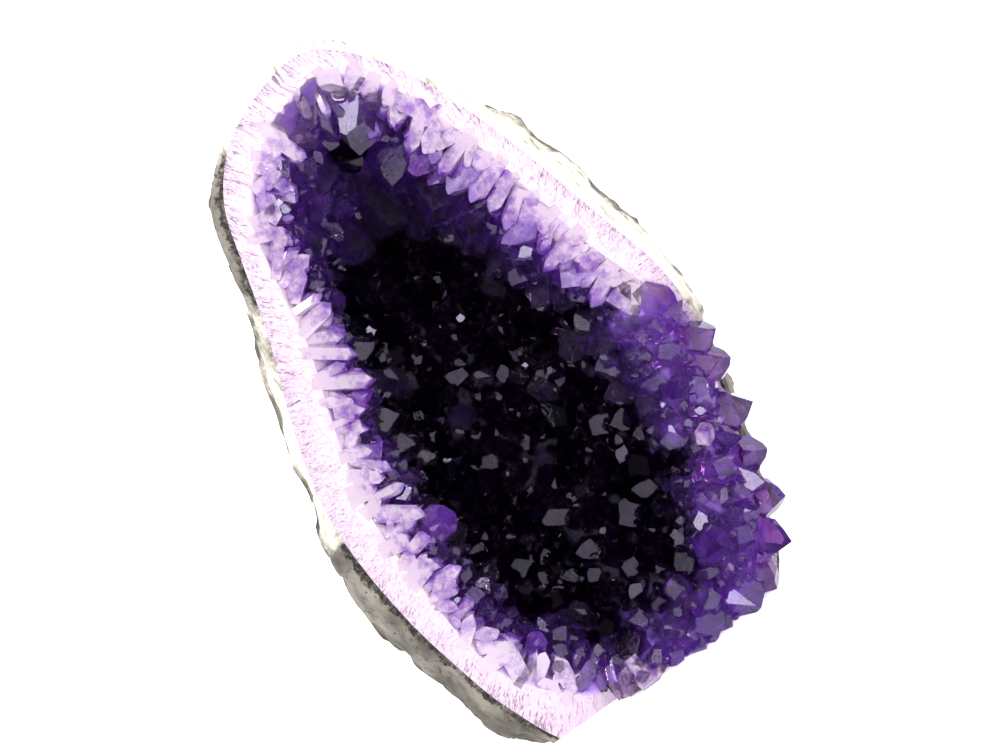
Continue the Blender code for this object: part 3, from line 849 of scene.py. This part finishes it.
def quartzMaterial():  # milky quartz: cloudy white, lilac and then violet towards the crystals
    mat, tree, shader = newMaterial("milkyQuartz")
    look = quartzLook
    place = addNode(tree, "ShaderNodeTexCoord").outputs["Object"]
    shade = addNode(tree, "ShaderNodeAttribute", {"attribute_name": "shade"}).outputs["Fac"]
    swirl = addNode(tree, "ShaderNodeTexNoise", Vector=place, Scale=scaleOf(look["swirlSize"]),
                    Detail=3)
    swung = addNode(tree, "ShaderNodeVectorMath", multiplyAdd, i0=swirl.outputs["Color"],
                    i1=look["swing"], i2=place).outputs[0]
    way = radialStreaks(tree, swung, look["around"], look["along"])
    streaks = addNode(tree, "ShaderNodeTexNoise", Vector=way, Scale=1.0, Detail=6, Roughness=0.65)
    fine = addNode(tree, "ShaderNodeTexNoise", Vector=way, Scale=look["fineScale"], Detail=5,
                   Roughness=0.72)
    wander = addNode(tree, "ShaderNodeMath", multiplyAdd, i0=swirl.outputs[0], i1=0.6, i2=-0.3)
    depth = addNode(tree, "ShaderNodeMath", {"operation": "ADD"}, i0=shade, i1=wander.outputs[0])
    milk = addNode(tree, "ShaderNodeValToRGB", stops=look["tones"], Fac=depth.outputs[0])
    scratch = addNode(tree, "ShaderNodeMath", multiplyAdd, i0=shade, i1=0.5, i2=fine.outputs[0])
    patchy = addNode(tree, "ShaderNodeMath", multiplyAdd, i0=streaks.outputs[0], i1=0.5,
                     i2=scratch.outputs[0])
    marks = addNode(tree, "ShaderNodeValToRGB", stops=look["marks"], Fac=patchy.outputs[0])
    tone = addNode(tree, "ShaderNodeMix", multiplyColour, i0=1.0, i6=milk.outputs[0],
                   i7=marks.outputs[0])
    cells = addNode(tree, "ShaderNodeTexVoronoi", {"feature": "DISTANCE_TO_EDGE"},
                    Vector=swung, Scale=scaleOf(look["cellSize"]), Randomness=1.0)
    outlines = addNode(tree, "ShaderNodeValToRGB", stops=look["outlines"],
                       Fac=cells.outputs["Distance"])
    tone = addNode(tree, "ShaderNodeMix", multiplyColour, i0=look["outlineShare"],
                   i6=tone.outputs[2], i7=outlines.outputs[0])
    tree.links.new(tone.outputs[2], shader.inputs["Base Color"])
    shader.inputs["Roughness"].default_value = 0.4
    shader.inputs["IOR"].default_value = 1.544
    shader.inputs["Specular IOR Level"].default_value = 0.2
    bump = addNode(tree, "ShaderNodeBump", Strength=0.35, Distance=0.0003, Height=fine.outputs[0])
    tree.links.new(bump.outputs[0], shader.inputs["Normal"])
    return mat


# Amethyst is clear quartz with a glassy gloss. Deep crystals swallow the light, violet ones let it
# through and pale ones are milky. Light is lost by the absorb colour and the density, per metre.
finishes = {
    "deep": {"seed": 12, "tones": ((0.2, "FFFFFF"), (0.9, "C9B4EA")), "cloudSize": 5,
             "roughness": 0.02, "clear": 1.0, "absorb": (0.46, 0.0, 0.5, 1.0), "density": 520,
             "grain": 1.1, "uneven": 0.06, "sheen": "E0D8F6", "gloss": 0.95},
    "violet": {"seed": 14, "tones": ((0.2, "EEE2FA"), (0.6, "D4B6F0"), (1.0, "AE80DE")),
               "cloudSize": 3, "roughness": 0.02, "clear": 0.975,
               "absorb": (0.54, 0.0, 0.66, 1.0), "density": 130, "grain": 0.8, "uneven": 0.06,
               "sheen": "F0EAFC", "gloss": 0.95},
    "pale": {"seed": 12, "tones": ((0.05, "E8D8E8"), (0.3, "C6ACD4"), (0.56, "A276CA"),
                                   (0.86, "7444AA")), "cloudSize": 2.5, "roughness": 0.05,
             "clear": 0.6, "absorb": (0.6, 0.0, 0.82, 1.0), "density": 90, "grain": 0.8,
             "uneven": 0.15, "sheen": "FFFFFF", "gloss": 0.7},
}


def crystalMaterial(name, settings):  # clear amethyst, whiter at the root, with a fine uneven grain on its faces
    mat, tree, shader = newMaterial(name)
    shader.inputs["Roughness"].default_value = settings["roughness"]
    shader.inputs["IOR"].default_value = 1.544
    shader.inputs["Transmission Weight"].default_value = settings["clear"]
    shader.inputs["Specular Tint"].default_value = linear(settings["sheen"])
    shader.inputs["Specular IOR Level"].default_value = settings["gloss"]
    place = addNode(tree, "ShaderNodeTexCoord").outputs["Object"]
    rise, tint = [addNode(tree, "ShaderNodeAttribute", {"attribute_name": key}).outputs["Fac"]
                  for key in ("rise", "tint")]
    clouds = addNode(tree, "ShaderNodeTexNoise", Vector=place, Detail=4, Roughness=0.7,
                     Scale=scaleOf(settings["cloudSize"]))
    uneven = addNode(tree, "ShaderNodeMath", multiplyAdd, i0=clouds.outputs[0], i1=1.6, i2=-0.8)
    varied = addNode(tree, "ShaderNodeMath", multiplyAdd, i0=tint, i1=0.4, i2=uneven.outputs[0])
    depth = addNode(tree, "ShaderNodeMath", multiplyAdd, i0=rise, i1=0.6, i2=varied.outputs[0])
    tone = addNode(tree, "ShaderNodeValToRGB", stops=settings["tones"], Fac=depth.outputs[0])
    tree.links.new(tone.outputs[0], shader.inputs["Base Color"])
    grain = addNode(tree, "ShaderNodeTexNoise", Vector=place, Detail=1, Roughness=0.6,
                    Scale=scaleOf(settings["grain"]))
    bump = addNode(tree, "ShaderNodeBump", Strength=settings["uneven"], Distance=0.0002,
                   Height=grain.outputs[0])
    tree.links.new(bump.outputs[0], shader.inputs["Normal"])
    volume = addNode(tree, "ShaderNodeVolumeAbsorption", Color=settings["absorb"],
                     Density=settings["density"])
    tree.links.new(volume.outputs[0], tree.nodes["Material Output"].inputs["Volume"])
    return mat


studio = {"floor": 3.0, "curve": 0.5, "wall": 2.5, "fill": 0.25, "glow": 0.5, "gamma": 0.86,
          "target": Vector((0, 0, 0.08)), "sparkle": 0.07, "sparkleSize": (0.015, 0.015),
          "boxes": (  # name, place, size and how bright the box itself looks
              ("overhead", (0.1, 0.0, 1.0), (1.4, 1.1), 1.8),
              ("frontLeft", (-0.65, -0.85, 0.65), (1.25, 1.1), 2.2),
              ("window", (-0.3, -0.78, 0.72), (0.3, 0.36), 9.0),
              ("frontRight", (0.8, -0.85, 0.45), (1.05, 1.1), 2.2),
              ("glint", (0.42, -0.8, 0.5), (0.2, 0.2), 9.0),
              ("left", (-1.0, -0.15, 0.45), (1.2, 1.1), 1.8),
              ("right", (1.0, -0.15, 0.45), (1.2, 1.1), 1.9)),
          "sparkles": ((-0.3, -0.8, 0.5), (0.3, -0.8, 0.35), (0.1, -0.7, 0.8), (-0.2, -0.5, 0.9),
                       (0.4, -0.4, 0.8), (-0.8, -0.3, 0.3), (0.05, -0.9, 0.5), (0.6, -0.6, 0.3))}


def addStudio():
    bm = bmesh.new()
    half, curve = studio["floor"], studio["curve"]
    profile = [(-half, 0.0), (curve, 0.0)]
    profile += [(curve + curve * math.sin(a), curve - curve * math.cos(a))
                for a in (math.pi / 2 * k / 10 for k in range(1, 11))]
    profile.append((2 * curve, studio["wall"]))
    rows = [[bm.verts.new((x, y, z)) for y, z in profile] for x in (-half, half)]
    for i in range(len(profile) - 1):
        bm.faces.new((rows[0][i], rows[1][i], rows[1][i + 1], rows[0][i + 1]))
    floor = addObject("studioFloor", toMesh("studioFloor", bm))
    mat, tree, shader = newMaterial("paleFloor")
    shader.inputs["Base Color"].default_value = linear("F7F6F4")
    shader.inputs["Roughness"].default_value = 0.9
    shader.inputs["Emission Color"].default_value = (1, 1, 1, 1)
    shader.inputs["Emission Strength"].default_value = studio["glow"]
    floor.data.materials.append(mat)

    def softbox(name, place, size, power):
        data = bpy.data.lights.new(name, "AREA")
        data.shape = "RECTANGLE"
        data.size, data.size_y = size
        data.energy = power
        obj = bpy.data.objects.new(name, data)
        scene.collection.objects.link(obj)
        turn = (studio["target"] - Vector(place)).to_track_quat("-Z", "Y")
        obj.matrix_world = Matrix.Translation(place) @ turn.to_matrix().to_4x4()

    for name, place, size, bright in studio["boxes"]:
        softbox(name, place, size, bright * math.pi * size[0] * size[1])
    for i, place in enumerate(studio["sparkles"]):
        softbox(f"sparkle{i}", place, studio["sparkleSize"], studio["sparkle"])
    sky = bpy.data.worlds.new("studio")
    scene.world = sky
    sky.use_nodes = True
    shade = sky.node_tree.nodes["Background"]
    shade.inputs["Color"].default_value = (1, 1, 1, 1)
    shade.inputs["Strength"].default_value = studio["fill"]
    scene.view_settings.view_transform = "Standard"
    scene.view_settings.gamma = studio["gamma"]


addCamera()
addStudio()
print("studio ready")

rockPiece = addRock(basaltMaterial())
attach(rockPiece, "root")
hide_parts("basalt_rind")
print("rock ready")

quartzPiece = addQuartz(quartzMaterial())
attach(quartzPiece, "root")
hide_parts("quartz_lining")
print("quartz ready")

zoning = {"seed": 5, "scatter": 0.07, "stray": 0.07, "paleTo": 0.36, "violetTo": 0.68,
          "openShade": 0.5}  # the open side has no pale crystals


def sortByZone(spots):
    rng = random.Random(zoning["seed"])
    zones = {"deep": [], "violet": [], "pale": []}
    for spot in spots:
        shade = max(spot.shade, zoning["openShade"] * spot.open) + rng.gauss(0, zoning["scatter"])
        zone = ("pale" if shade < zoning["paleTo"]
                else "violet" if shade < zoning["violetTo"] else "deep")
        if zone == "deep" and rng.random() < zoning["stray"]:
            zone = "violet"
        zones[spot.zone or zone].append(spot)
    return zones


kit = crystalKit()
saw, base = sawBlock(), baseBlock(crystal["baseCut"])
tree = growTree()
for zone, spots in sortByZone(findCrystals()).items():
    mat = crystalMaterial(zone + "Amethyst", finishes[zone])
    inputs = {"Kit": kit, "Saw": saw, "Base": base, "Material": mat}
    piece = addCrystals(zone + "Crystals", spots, finishes[zone]["seed"], tree, inputs)
    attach(piece, "root")
    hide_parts("amethyst_crust")
for obj in [saw, base] + list(kit.objects):
    bpy.data.objects.remove(obj)
bpy.data.collections.remove(kit)
print("crystals ready")
